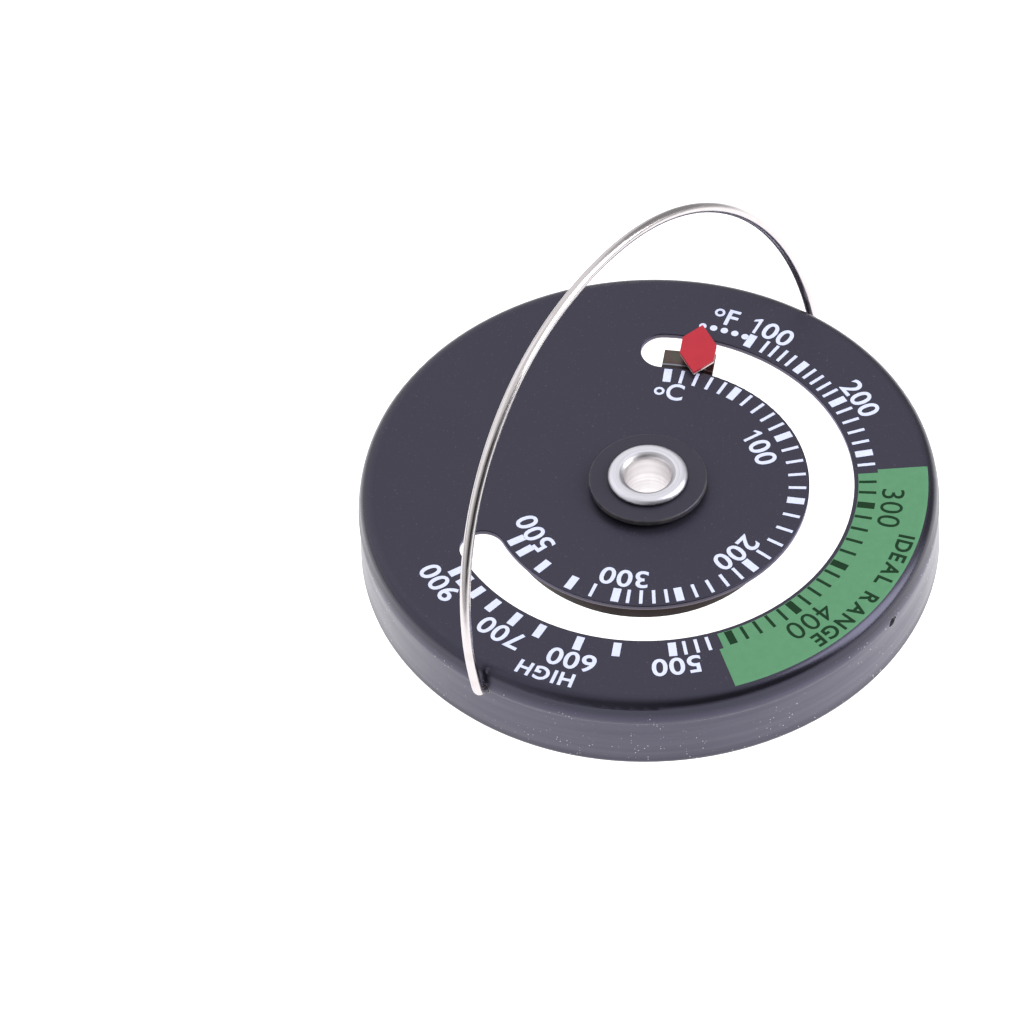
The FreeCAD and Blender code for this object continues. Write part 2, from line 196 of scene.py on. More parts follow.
# Patches of the room that are darker or brighter: azimuth, elevation, how many degrees
# from there the change is full, where it ends, and how much it adds.
ROOM_PATCHES = [(-50.0, 14.0, 18.0, 48.0, -0.82),
                (-92.0, 28.0, 12.0, 44.0, -0.56),
                (50.0, 15.0, 20.0, 45.0, -0.74),
                (90.0, 10.0, 42.0, 80.0, 0.15)]
SOFTBOX_DISTANCE = 1.0
# Azimuth, elevation, width, height and power of each softbox.
SOFTBOXES = {"right_softbox": (-3.0, 34.0, 0.62, 0.95, 10.2), "left_softbox": (172.0, 36.0, 1.3, 1.3, 1.9)}
TABLE_GLOW = 1.45
TABLE_FAR_GLOW = 0.29
TABLE_EDGE = (85.0, 200.0)       # the glow fades out between these distances, in millimetres
TABLE_GREY = 0.12
TABLE_HALF = 3.0                 # half the table's side
TABLE_GAP = 0.02 * MM            # keeps the table's face apart from the magnet's


# ---- Mesh helpers ------------------------------------------------------------

SQUARE = ((-1, -1), (1, -1), (1, 1), (-1, 1))


def polar(radius, azimuth, height=0.0):
    angle = math.radians(azimuth)
    return Vector((radius * math.cos(angle), radius * math.sin(angle), height))


def towards(azimuth, elevation):
    angle = math.radians(elevation)
    return polar(math.cos(angle), azimuth, math.sin(angle))


def add_object(name, mesh_source):
    """Turns a bmesh into an object of the scene, with outward normals."""
    bmesh.ops.recalc_face_normals(mesh_source, faces=mesh_source.faces)
    mesh = bpy.data.meshes.new(name)
    mesh_source.to_mesh(mesh)
    mesh_source.free()
    piece = bpy.data.objects.new(name, mesh)
    bpy.context.scene.collection.objects.link(piece)
    return piece


def add_prism(target, outline, bottom, top):
    """Adds a closed prism over a flat outline."""
    low = [target.verts.new((point.x, point.y, bottom)) for point in outline]
    high = [target.verts.new((point.x, point.y, top)) for point in outline]
    target.faces.new(low)
    target.faces.new(high)
    for index in range(len(outline)):
        following = (index + 1) % len(outline)
        target.faces.new((low[index], low[following], high[following], high[index]))


def add_ring_prism(target, middle, outer, inner, bottom, top, sides=32):
    """Adds a flat ring with a round hole."""
    loops = []
    for radius, height in ((outer, bottom), (outer, top), (inner, top), (inner, bottom)):
        loops.append([target.verts.new(middle + polar(radius, 360 * side / sides, height))
                      for side in range(sides)])
    for number, loop in enumerate(loops):
        other = loops[(number + 1) % len(loops)]
        for side in range(sides):
            following = (side + 1) % sides
            target.faces.new((loop[side], loop[following], other[following], other[side]))


def on_arc(azimuth, radius):
    """Matrix that puts a flat drawing on the dial with its top pointing outward."""
    turn = Matrix.Rotation(math.radians(azimuth - 90), 4, "Z")
    return Matrix.Translation(polar(radius, azimuth)) @ turn


# ---- Printing ----------------------------------------------------------------

def ink_layers(overprint=False):
    top = OVERPRINT_TOP if overprint else INK_TOP
    return DIAL_Z - INK_SINK, DIAL_Z + top


def add_mark(target, azimuth, radius, width, overprint=False):
    """One rectangular tick, square to its radius."""
    half = Vector((width / 2, MARK_LENGTH / 2, 0))
    place = on_arc(azimuth, radius)
    corners = [place @ Vector((x * half.x, y * half.y, 0)) for x, y in SQUARE]
    add_prism(target, corners, *ink_layers(overprint))


def add_spans(target, spans, radius, overprint=False):
    """The wide mark of each span and the evenly spaced fine marks after it."""
    for wide, first, last in spans:
        add_mark(target, wide, radius, WIDE_MARK, overprint)
        for number in range(FINE_MARKS):
            azimuth = first + (last - first) * number / (FINE_MARKS - 1)
            add_mark(target, azimuth, radius, FINE_MARK, overprint)


def figure_one():
    """A figure 1 with a flag and no foot, one unit high, with its left end at x 0."""
    stem = 0.14
    right = 0.36
    corners = [(right - stem, 0), (right, 0), (right, 1), (right - 0.10, 1), (0.02, 0.83), (0.0, 0.70),
               (right - stem, 0.80)]
    drawing = bmesh.new()
    add_prism(drawing, [Vector((x, y, 0)) for x, y in corners], 0.0, 1.0)
    return drawing


def font_glyph(character, weight):
    """A letter of Blender's own font, one unit high and one unit thick."""
    half_thickness = 0.5
    capital_height = 0.69
    text = bpy.data.curves.new("glyph", "FONT")
    text.body = character
    text.extrude = half_thickness
    text.offset = weight
    text.resolution_u = 8
    holder = bpy.data.objects.new("glyph", text)
    bpy.context.scene.collection.objects.link(holder)
    mesh = bpy.data.meshes.new_from_object(holder)
    drawing = bmesh.new()
    drawing.from_mesh(mesh)
    bmesh.ops.remove_doubles(drawing, verts=drawing.verts, dist=1e-5)
    left = min(vertex.co.x for vertex in drawing.verts)
    for vertex in drawing.verts:
        vertex.co.x = (vertex.co.x - left) / capital_height
        vertex.co.y = vertex.co.y / capital_height
        vertex.co.z = vertex.co.z + half_thickness
    bpy.data.objects.remove(holder)
    bpy.data.curves.remove(text)
    bpy.data.meshes.remove(mesh)
    return drawing


def glyph_meshes(text, height, weight):
    """The drawing and the width of each character. A space has no drawing."""
    glyphs = []
    for character in text:
        if character == " ":
            glyphs.append((None, WORD_SPACE))
            continue
        drawing = figure_one() if character == "1" else font_glyph(character, weight / height)
        width = max(vertex.co.x for vertex in drawing.verts) * height
        glyphs.append((drawing, width))
    return glyphs


def add_text(target, text, azimuth, radius, height, weight, gap=None, overprint=False,
             pitch=DIGIT_PITCH):
    """Letters along an arc, read clockwise, tops outward, with their middle at azimuth.

    With no gap given they are digits, which stand an even pitch apart.
    """
    glyphs = glyph_meshes(text, height, weight)
    bottom, top = ink_layers(overprint)
    steps = [pitch if gap is None else width + gap for _, width in glyphs]
    start = -sum(steps) / 2
    for (drawing, width), step in zip(glyphs, steps):
        if drawing is not None:
            along = math.degrees((start + step / 2) / radius)
            stretch = UNIT_STRETCH.get(text, DIGIT_STRETCH) if gap is None else 1.0
            size = Matrix.Diagonal((height * stretch, height, top - bottom, 1))
            middle = Matrix.Translation((-width * stretch / 2, -height / 2, bottom))
            drawing.transform(on_arc(azimuth - along, radius) @ middle @ size)
            mesh = bpy.data.meshes.new("letter")
            drawing.to_mesh(mesh)
            target.from_mesh(mesh)
            bpy.data.meshes.remove(mesh)
            drawing.free()
        start += step


def white_marks():
    drawing = bmesh.new()
    add_spans(drawing, FAHRENHEIT_LOW_SPANS, FAHRENHEIT_RADIUS)
    add_spans(drawing, CELSIUS_SPANS, CELSIUS_RADIUS)
    for singles, radius, width in ((FAHRENHEIT_WHITE_SINGLES, FAHRENHEIT_RADIUS, FINE_MARK),
                                   (FAHRENHEIT_WHITE_WIDE, FAHRENHEIT_RADIUS, WIDE_MARK),
                                   (CELSIUS_SINGLES, CELSIUS_RADIUS, FINE_MARK),
                                   (CELSIUS_WIDE, CELSIUS_RADIUS, WIDE_MARK)):
        for azimuth in singles:
            add_mark(drawing, azimuth, radius, width)
    return add_object("scale_marks_white", drawing)


def dark_marks():
    drawing = bmesh.new()
    add_spans(drawing, FAHRENHEIT_GREEN_SPANS, FAHRENHEIT_RADIUS, overprint=True)
    for singles, width in ((FAHRENHEIT_GREEN_SINGLES, FINE_MARK), (FAHRENHEIT_GREEN_WIDE, WIDE_MARK)):
        for azimuth in singles:
            add_mark(drawing, azimuth, FAHRENHEIT_RADIUS, width, overprint=True)
    return add_object("scale_marks_dark", drawing)


def scale_dots():
    drawing = bmesh.new()
    sides = 24
    for number in range(DOTS):
        middle = polar(DOT_RADIUS, FIRST_DOT + DOT_STEP * number)
        outline = [middle + polar(DOT_SIZE / 2, 360 * side / sides) for side in range(sides)]
        add_prism(drawing, outline, *ink_layers())
    return add_object("scale_dots_white", drawing)


def white_numbers():
    drawing = bmesh.new()
    for text, azimuth, radius in WHITE_NUMBERS:
        add_text(drawing, text, azimuth, radius * MM, DIGIT_HEIGHT, WHITE_WEIGHT)
    return add_object("scale_numbers_white", drawing)


def dark_numbers():
    drawing = bmesh.new()
    height = DARK_SCALE * DIGIT_HEIGHT
    pitch = DARK_SCALE * DIGIT_PITCH
    for text, azimuth, radius in DARK_NUMBERS:
        add_text(drawing, text, azimuth, radius * MM, height, DARK_WEIGHT, overprint=True, pitch=pitch)
    return add_object("scale_numbers_dark", drawing)


def unit_letters():
    drawing = bmesh.new()
    for letter, azimuth, radius, ring_azimuth, ring_radius in UNITS:
        add_text(drawing, letter, azimuth, radius * MM, DIGIT_HEIGHT, WHITE_WEIGHT)
        ring_middle = polar(ring_radius * MM, ring_azimuth)
        add_ring_prism(drawing, ring_middle, DEGREE_OUTER, DEGREE_INNER, *ink_layers())
    return add_object("unit_letters_white", drawing)


def zone_word(name, words, overprint):
    text, azimuth, radius, height, gap = words
    drawing = bmesh.new()
    add_text(drawing, text, azimuth, radius, height, WORD_WEIGHT, gap, overprint)
    return add_object(name, drawing)


def surface_z(radius):
    """Height of the dial, which bends down at its rim."""
    past = max(0.0, radius - FLAT_RADIUS)
    return DIAL_Z - BEND_RADIUS + math.sqrt(BEND_RADIUS ** 2 - past ** 2)


def add_band(target, radii, start, end):
    """A sheet of ink over the dial between two azimuths, following the dial's surface."""
    bottom, top = ink_layers()
    section = [(radius, surface_z(radius) + top - DIAL_Z) for radius in radii]
    section += [(radius, surface_z(radius) + bottom - DIAL_Z) for radius in reversed(radii)]
    steps = 75
    rings = []
    for step in range(steps + 1):
        azimuth = start + (end - start) * step / steps
        rings.append([target.verts.new(polar(radius, azimuth, height)) for radius, height in section])
    for ring, following in zip(rings, rings[1:]):
        for index in range(len(section)):
            other = (index + 1) % len(section)
            target.faces.new((ring[index], ring[other], following[other], following[index]))
    target.faces.new(rings[0])
    target.faces.new(rings[-1])


def green_zone():
    """Ring sector whose band of marks starts and ends a little short of the rest."""
    rim = [FLAT_RADIUS + (ZONE_OUTER - FLAT_RADIUS) * share for share in (0, 0.4, 0.7, 1)]
    drawing = bmesh.new()
    add_band(drawing, [ZONE_INNER, ZONE_STEP], ZONE_MARKS_START, ZONE_MARKS_END)
    add_band(drawing, [ZONE_STEP] + rim, ZONE_START, ZONE_END)
    return add_object("zone_green", drawing)


# ---- Coil --------------------------------------------------------------------

def coil_path():
    """Points on the strip's middle line and the direction of its outer face, from the
    tang in the hub's slit out to the end that the pointer's bracket sits on."""
    outward = polar(1, COIL_END_AZ)
    clockwise = polar(1, COIL_END_AZ - 90)
    last_radius = COIL_END_RADIUS - STRIP_THICKNESS / 2 - COIL_PITCH / 4
    first_radius = last_radius - (COIL_HALF_TURNS - 1) * COIL_PITCH / 2
    corner = first_radius - COIL_PITCH / 4
    path = [(outward * TANG_RADIUS, -clockwise)]
    bend_middle = outward * (corner - TANG_BEND) + clockwise * TANG_BEND
    for turn in range(0, 90, 15):
        angle = math.radians(turn)
        side = outward * math.sin(angle) - clockwise * math.cos(angle)
        path.append((bend_middle + side * TANG_BEND, side))
    skipped = math.degrees(TANG_BEND / first_radius)
    for number in range(COIL_HALF_TURNS):
        sign = 1 if number % 2 == 0 else -1
        middle = outward * (-sign * COIL_PITCH / 4)
        radius = first_radius + number * COIL_PITCH / 2
        start = COIL_END_AZ if sign == 1 else COIL_END_AZ + 180
        first_turn = skipped if number == 0 else 0
        steps = round(180 / COIL_STEP)
        last_step = steps + 1 if number == COIL_HALF_TURNS - 1 else steps
        for step in range(last_step):
            turn = first_turn + (180 - first_turn) * step / steps
            side = polar(1, start - turn)
            path.append((middle + side * radius, side))
    return path


def strip_section():
    """Corners of the strip's rounded cross-section: distance out of the middle line, height."""
    half = STRIP_THICKNESS / 2
    low = COIL_BOX[0].z
    high = COIL_BOX[1].z
    corners = [(1, high, 0), (-1, high, 90), (-1, low, 180), (1, low, 270)]
    section = []
    for side, height, start in corners:
        inward = -1 if height == high else 1
        middle = (side * (half - STRIP_EDGE_ROUND), height + inward * STRIP_EDGE_ROUND)
        for turn in (0, 30, 60, 90):
            angle = math.radians(start + turn)
            section.append((middle[0] + STRIP_EDGE_ROUND * math.cos(angle),
                            middle[1] + STRIP_EDGE_ROUND * math.sin(angle)))
    return section


def bimetal_strip():
    """The coil as one strip swept along its path, in place of the CAD node's coil."""
    path = coil_path()
    section = strip_section()
    drawing = bmesh.new()
    rings = []
    for point, side in path:
        rings.append([drawing.verts.new((point.x + side.x * out, point.y + side.y * out, height))
                      for out, height in section])
    for ring, following in zip(rings, rings[1:]):
        for index in range(len(section)):
            other = (index + 1) % len(section)
            drawing.faces.new((ring[index], ring[other], following[other], following[index]))
    drawing.faces.new(rings[0])
    drawing.faces.new(rings[-1])
    strip = add_object("bimetal_strip", drawing)
    strip.data.shade_smooth()

    travelled = [0.0]
    for (before, _), (after, _) in zip(path, path[1:]):
        travelled.append(travelled[-1] + (after - before).length)
    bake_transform(strip)
    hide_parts("bimetal_coil")
    return strip


# ---- Finishes ----------------------------------------------------------------

class Finish:
    """A material made of nodes. Its coordinates are millimetres in the object's own frame."""

    def __init__(self, name, metallic=0.0, specular=0.5):
        self.material = bpy.data.materials.new(name)
        self.material.use_nodes = True
        self.tree = self.material.node_tree
        self.shader = self.tree.nodes["Principled BSDF"]
        self.shader.inputs["Metallic"].default_value = metallic
        self.shader.inputs["Specular IOR Level"].default_value = specular
        coordinates = self.tree.nodes.new("ShaderNodeTexCoord")
        self.place = self.vector("MULTIPLY", coordinates.outputs["Object"], (1 / MM, 1 / MM, 1 / MM))
        self.x, self.y, self.z = self.split(self.place)
        self.normal = coordinates.outputs["Normal"]
        self.normal_z = self.split(self.normal)[2]

    def node(self, kind, inputs, **settings):
        """A node with its settings and inputs. An input is a socket to link or a value."""
        made = self.tree.nodes.new(kind)
        for name, value in settings.items():
            setattr(made, name, value)
        for key, value in inputs.items():
            if isinstance(value, bpy.types.NodeSocket):
                self.tree.links.new(value, made.inputs[key])
            else:
                made.inputs[key].default_value = value
        return made

    def vector(self, operation, first, second):
        made = self.node("ShaderNodeVectorMath", {0: first, 1: second}, operation=operation)
        return made.outputs[1] if operation == "DOT_PRODUCT" else made.outputs[0]

    def split(self, vector):
        return self.node("ShaderNodeSeparateXYZ", {0: vector}).outputs

    def join(self, x, y, z):
        return self.node("ShaderNodeCombineXYZ", {0: x, 1: y, 2: z}).outputs[0]

    def math(self, operation, first, second=0.0):
        return self.node("ShaderNodeMath", {0: first, 1: second}, operation=operation).outputs[0]

    def product(self, first, second):
        return self.math("MULTIPLY", first, second)

    def apart(self, first, second):
        return self.math("ABSOLUTE", self.math("SUBTRACT", first, second))

    def length(self, first, second):
        squares = self.math("ADD", self.product(first, first), self.product(second, second))
        return self.math("SQRT", squares)

    def ramp(self, value, low, high, start=0.0, end=1.0):
        """start up to low, end past high, and smooth between them."""
        inputs = {"Value": value, "From Min": low, "From Max": high, "To Min": start, "To Max": end}
        return self.node("ShaderNodeMapRange", inputs, interpolation_type="SMOOTHSTEP").outputs[0]

    def noise(self, scale, detail=3.0, place=None, roughness=0.5):
        """Noise from 0 to 1, with scale features to the millimetre."""
        inputs = {"Vector": place or self.place, "Scale": scale, "Detail": detail, "Roughness": roughness}
        return self.node("ShaderNodeTexNoise", inputs).outputs[0]

    def streaks(self, detail, *directions):
        """Noise over one or two values, each with its own number of features to the millimetre."""
        scaled = [self.product(value, scale) for value, scale in directions] + [0.0, 0.0]
        return self.noise(1.0, detail, self.join(*scaled[:3]))

    def specks(self, scale, share, size):
        """1 in small round specks, in about that share of the cells."""
        cells = self.node("ShaderNodeTexVoronoi", {"Vector": self.place, "Scale": scale})
        inside = self.ramp(cells.outputs["Distance"], size * 0.5, size, 1.0, 0.0)
        chosen = self.ramp(self.split(cells.outputs["Color"])[0], share * 0.8, share, 1.0, 0.0)
        return self.product(inside, chosen)

    def mix(self, share, first, second):
        inputs = {0: share, 6: first, 7: second}
        return self.node("ShaderNodeMix", inputs, data_type="RGBA").outputs[2]

    def radius(self):
        """Distance from the centre line."""
        return self.length(self.x, self.y)

    def radial_share(self):
        """1 where the surface faces straight out from the centre line, -1 where it faces in."""
        flat = self.node("ShaderNodeVectorMath", {0: self.join(self.x, self.y, 0.0)}, operation="NORMALIZE")
        return self.vector("DOT_PRODUCT", flat.outputs[0], self.normal)

    def bump(self, height, depth):
        """Relief of that depth in millimetres, added to any relief already there."""
        made = self.node("ShaderNodeBump", {"Height": height, "Strength": 1.0, "Distance": depth * MM})
        earlier = self.shader.inputs["Normal"]
        if earlier.is_linked:
            self.tree.links.new(earlier.links[0].from_socket, made.inputs["Normal"])
        self.tree.links.new(made.outputs[0], earlier)

    def set(self, **inputs):
        """Links or sets sockets of the shader, named with _ for a space."""
        for name, value in inputs.items():
            socket = self.shader.inputs[name.replace("_", " ")]
            if isinstance(value, bpy.types.NodeSocket):
                self.tree.links.new(value, socket)
            else:
                socket.default_value = value


def rgb(red, green, blue):
    return (red, green, blue, 1.0)


def around_skirt_holes(finish):
    """Distance in millimetres from the axis of the nearest of the skirt's four holes."""
    along = finish.vector("DOT_PRODUCT", finish.place, tuple(BAIL_AXIS))
    across = finish.vector("DOT_PRODUCT", finish.place, (-BAIL_AXIS.y, BAIL_AXIS.x, 0))
    sideways = finish.math("MINIMUM", finish.math("ABSOLUTE", along), finish.math("ABSOLUTE", across))
    return finish.length(sideways, finish.math("SUBTRACT", finish.z, BAIL_POINT.z / MM))


def skirt_paint(finish, drawn, on_skirt):
    """The drawn skirt's paint, how much of it is lightened, by rubbing at the lip and by a painted
    highlight along the crease, and the specks of dust on it.
    """
    paint = finish.mix(drawn, rgb(0.018, 0.015, 0.031), rgb(0.043, 0.037, 0.064))
    # Painted highlight: a pale band along the crease, broken up by noise, stands in for the crease's
    # highlight.
    crease = finish.ramp(finish.apart(finish.z, CREASE), 0.0, CREASE_HIGHLIGHT_HALF_WIDTH, 0.9, 0.0)
    lip_rub_and_crease_highlight = finish.product(crease, finish.noise(0.5))
    lip_rub_and_crease_highlight = finish.math("MAXIMUM", lip_rub_and_crease_highlight, finish.ramp(finish.z, *LIP_RUBBED, 0.6, 0.0))
    specks = finish.math("MAXIMUM", finish.specks(1.2, 0.13, 0.16), finish.specks(2.9, 0.30, 0.24))
    dusty = finish.product(finish.ramp(finish.noise(0.22, 3.0), 0.46, 0.60), on_skirt)
    return paint, lip_rub_and_crease_highlight, finish.product(specks, finish.math("MAXIMUM", dusty, 0.05))


def slot_wall(finish):
    """How much of the surface is the slot's punched edge, and that edge's colour."""
    upright = finish.ramp(finish.math("ABSOLUTE", finish.normal_z), 0.55, 0.85, 1.0, 0.0)
    inside = finish.ramp(finish.radius(), *SLOT_OUTSIDE, 1.0, 0.0)
    share = finish.product(finish.product(upright, inside), finish.ramp(finish.z, *SHEET_UNDERSIDE))
    # The edge is lighter along its bottom: partly bare burr, partly a painted highlight.
    line = finish.ramp(finish.z, *EDGE_BURR_HIGHLIGHT)
    wall = finish.mix(line, rgb(0.165, 0.142, 0.160), rgb(0.088, 0.079, 0.102))
    return share, finish.mix(finish.ramp(finish.z, *EDGE_TOP), wall, rgb(0.018, 0.016, 0.024))


def black_enamel():
    """Matt black baked paint on sheet steel, bare where the sheet was punched and drilled."""
    finish = Finish("black_enamel", specular=0.66)
    finish.set(Specular_Tint=rgb(0.72, 0.70, 1.0))
    outside = finish.ramp(finish.radius(), *SKIRT_INSIDE)
    chipped = finish.math("ADD", around_skirt_holes(finish), finish.product(finish.noise(2.5), 0.25))
    drilled = finish.product(finish.ramp(chipped, *HOLE_BARE, 1.0, 0.0), outside)
    on_skirt = finish.ramp(finish.z, *SKIRT_END, 1.0, 0.0)
    in_bend = finish.product(finish.ramp(finish.z, *BEND_BOTTOM),
                             finish.ramp(finish.z, *BEND_TOP, 1.0, 0.0))

    cloud = finish.noise(0.12, 4.0)
    grain = finish.noise(7.0, 2.0)
    # Circumferential lines that the drawing die leaves under the paint.
    drawn = finish.noise(1.0, 3.0, finish.vector("MULTIPLY", finish.place, (0.035, 0.035, 0.95)))
    paint = finish.mix(cloud, rgb(0.0115, 0.0105, 0.0165), rgb(0.0145, 0.0130, 0.0200))
    paint = finish.mix(finish.ramp(grain, 0.35, 0.75, 0.0, 0.35), paint, rgb(0.028, 0.025, 0.036))
    skirt, lip_rub_and_crease_highlight, dust = skirt_paint(finish, drawn, on_skirt)
    paint = finish.mix(on_skirt, paint, skirt)
    # Painted shade: the paint darkens towards the bottom of the skirt.
    paint = finish.mix(finish.ramp(finish.z, *LIP_PAINTED_SHADE, 0.9, 0.0), paint, rgb(0.008, 0.006, 0.014))
    # The pale crease band is a painted highlight; the pale band at the lip is rubbed paint.
    paint = finish.mix(lip_rub_and_crease_highlight, paint, rgb(0.105, 0.103, 0.125))
    paint = finish.mix(dust, paint, rgb(0.55, 0.55, 0.60))
    wall_share, wall = slot_wall(finish)
    paint = finish.mix(wall_share, paint, wall)
    # Painted shade: the bend from the dial down to the skirt is painted near black to deepen its dark band.
    paint = finish.mix(finish.product(in_bend, outside), paint, rgb(0.005, 0.0045, 0.007))
    finish.set(Base_Color=finish.mix(drilled, paint, rgb(0.26, 0.25, 0.26)))
    finish.set(Metallic=finish.math("MAXIMUM", finish.product(wall_share, 0.7), drilled))

    # Less coat low on the skirt darkens it there as well, as painted shade.
    gloss = finish.product(finish.ramp(finish.z, *SKIRT_GLOSS_END, 0.55, 0.0),
                           finish.ramp(finish.z, *LIP_DULL, 0.25, 1.0))
    finish.set(Coat_Weight=finish.product(gloss, finish.ramp(drawn, 0.25, 0.75, 0.70, 1.15)))
    finish.set(Coat_Roughness=0.30)
    worn = finish.ramp(cloud, 0.3, 0.7, 0.37, 0.45)
    finish.set(Roughness=finish.math("SUBTRACT", worn, finish.product(in_bend, 0.14)))
    finish.bump(grain, 0.004)
    finish.bump(finish.noise(0.8, 2.0), 0.006)
    finish.bump(finish.product(drawn, on_skirt), 0.06)
    finish.bump(dust, 0.02)
    finish.bump(drilled, 0.02)
    return finish.material


def stainless_wire():
    """Drawn wire: fine lines run along it, in the plane of the loop."""
    finish = Finish("stainless_wire", metallic=1.0)
    low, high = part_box("bail_wire")
    top = Vector(((low.x + high.x) / 2, (low.y + high.y) / 2, high.z)) - BAIL_POINT
    side = BAIL_AXIS.cross(top - BAIL_AXIS * top.dot(BAIL_AXIS)).normalized()
    across = finish.vector("DOT_PRODUCT", finish.place, tuple(side))
    lines = finish.streaks(3.0, (across, 14.0), (finish.z, 0.25))
    dull = finish.ramp(finish.noise(0.35, 3.0), 0.50, 0.80, 0.0, 0.35)
    colour = finish.mix(lines, rgb(0.55, 0.51, 0.52), rgb(0.69, 0.65, 0.66))
    finish.set(Base_Color=finish.mix(dull, colour, rgb(0.48, 0.43, 0.42)))
    finish.set(Roughness=finish.ramp(lines, 0.3, 0.7, 0.16, 0.23))
    finish.bump(lines, 0.0015)
    finish.bump(finish.noise(0.6, 2.0), 0.008)
    return finish.material


def black_washer():
    """Black oxide on steel, worn along the rim and with a few specks of rust."""
    finish = Finish("black_washer")
    finish.set(Specular_Tint=rgb(0.84, 0.83, 1.0))
    grain = finish.noise(8.0, 2.0)
    cloud = finish.noise(0.5, 3.0)
    rings = finish.streaks(2.0, (finish.radius(), 5.0))
    paint = finish.mix(cloud, rgb(0.016, 0.015, 0.026), rgb(0.025, 0.023, 0.036))
    rim = finish.product(finish.ramp(finish.radius(), *WASHER_RIM), finish.ramp(cloud, 0.3, 0.6))
    paint = finish.mix(finish.product(rim, 0.6), paint, rgb(0.10, 0.09, 0.085))
    rust = finish.product(finish.specks(2.2, 0.10, 0.16), 0.8)
    finish.set(Base_Color=finish.mix(rust, paint, rgb(0.115, 0.080, 0.060)))
    finish.set(Roughness=finish.ramp(cloud, 0.3, 0.7, 0.36, 0.50))
    finish.bump(grain, 0.003)
    finish.bump(rings, 0.006)
    return finish.material


def eyelet_aluminium():
    """Formed aluminium: a satin flange with fine rings, and a bore that the punch burnished."""
    finish = Finish("eyelet_aluminium", metallic=1.0)
    radius = finish.radius()
    rings = finish.streaks(3.0, (radius, 8.0), (finish.z, 2.5))
    cloud = finish.noise(0.7, 4.0)
    metal = finish.mix(finish.ramp(rings, 0.3, 0.7), rgb(0.60, 0.59, 0.65), rgb(0.83, 0.82, 0.88))
    turns = finish.streaks(2.0, (finish.z, 2.1))
    burnished = finish.mix(finish.ramp(turns, 0.35, 0.60), rgb(0.86, 0.83, 0.84), rgb(1.0, 0.98, 0.98))
    metal = finish.mix(finish.ramp(radius, *EYELET_BORE, 0.9, 0.0), metal, burnished)
    # Painted shade: a darker ring round the mouth stands in for a small step there.
    mouth = finish.product(finish.ramp(radius, *EYELET_MOUTH_START),
                           finish.ramp(radius, *EYELET_MOUTH_END, 1.0, 0.0))
    metal = finish.mix(finish.product(mouth, 0.75), metal, rgb(0.30, 0.29, 0.31))
    # Painted shade: the band under the flange, where it meets the washer, is painted dark.
    height = finish.math("ADD", finish.z, finish.product(finish.noise(1.6), 0.30))
    foot = finish.product(finish.ramp(height, *EYELET_SHADE_FOOT_TOP, 1.0, 0.0),
                          finish.ramp(radius, *EYELET_SHADE_FOOT))
    finish.set(Base_Color=finish.mix(finish.product(foot, 0.85), metal, rgb(0.17, 0.14, 0.13)))
    finish.set(Roughness=finish.ramp(cloud, 0.25, 0.75, 0.34, 0.48))
    finish.bump(rings, 0.010)
    finish.bump(finish.noise(12.0, 2.0), 0.0015)
    return finish.material


def turned_metal(name, dark, light, roughness, ring_scale, relief):
    """Bare metal with faint rings about the centre line, for pieces rolled or turned on it."""
    finish = Finish(name, metallic=1.0)
    rings = finish.streaks(3.0, (finish.radius(), ring_scale), (finish.z, ring_scale))
    cloud = finish.noise(0.7, 4.0)
    grain = finish.noise(12.0, 2.0)
    shade = finish.product(finish.math("ADD", rings, cloud), 0.5)
    finish.set(Base_Color=finish.mix(shade, dark, light))
    finish.set(Roughness=finish.ramp(cloud, 0.25, 0.75, roughness - 0.05, roughness + 0.08))
    finish.bump(rings, relief)
    finish.bump(grain, 0.002)
    return finish.material


def zinc_steel():
    """Zinc plating: a pale mottled metal with a faint spangle."""
    finish = Finish("zinc_steel", metallic=1.0)
    cells = finish.node("ShaderNodeTexVoronoi", {"Vector": finish.place, "Scale": 1.1})
    spangle = finish.split(cells.outputs["Color"])[0]
    cloud = finish.noise(0.6, 4.0)
    colour = finish.mix(cloud, rgb(0.48, 0.50, 0.52), rgb(0.66, 0.67, 0.67))
    finish.set(Base_Color=finish.mix(finish.product(spangle, 0.35), colour, rgb(0.40, 0.43, 0.45)))
    finish.set(Roughness=finish.ramp(spangle, 0.0, 1.0, 0.30, 0.44))
    finish.bump(finish.noise(9.0, 2.0), 0.003)
    return finish.material


def bimetal(name, steel, copper, browned):
    """Rolled bimetal, coppery outside and steel inside, browned by heat."""
    finish = Finish(name, metallic=1.0)
    outer_side = finish.ramp(finish.radial_share(), -0.2, 0.2)
    lines = finish.streaks(3.0, (finish.z, 12.0), (finish.radius(), 0.4))
    heat = finish.noise(0.25, 4.0)
    metal = finish.mix(outer_side, steel, copper)
    metal = finish.mix(finish.product(lines, 0.5), metal, browned)
    metal = finish.mix(finish.ramp(heat, 0.4, 0.7, 0.0, 0.55), metal, browned)
    finish.set(Base_Color=metal)
    finish.set(Roughness=finish.ramp(lines, 0.25, 0.75, 0.32, 0.48))
    finish.bump(lines, 0.004)
    return finish


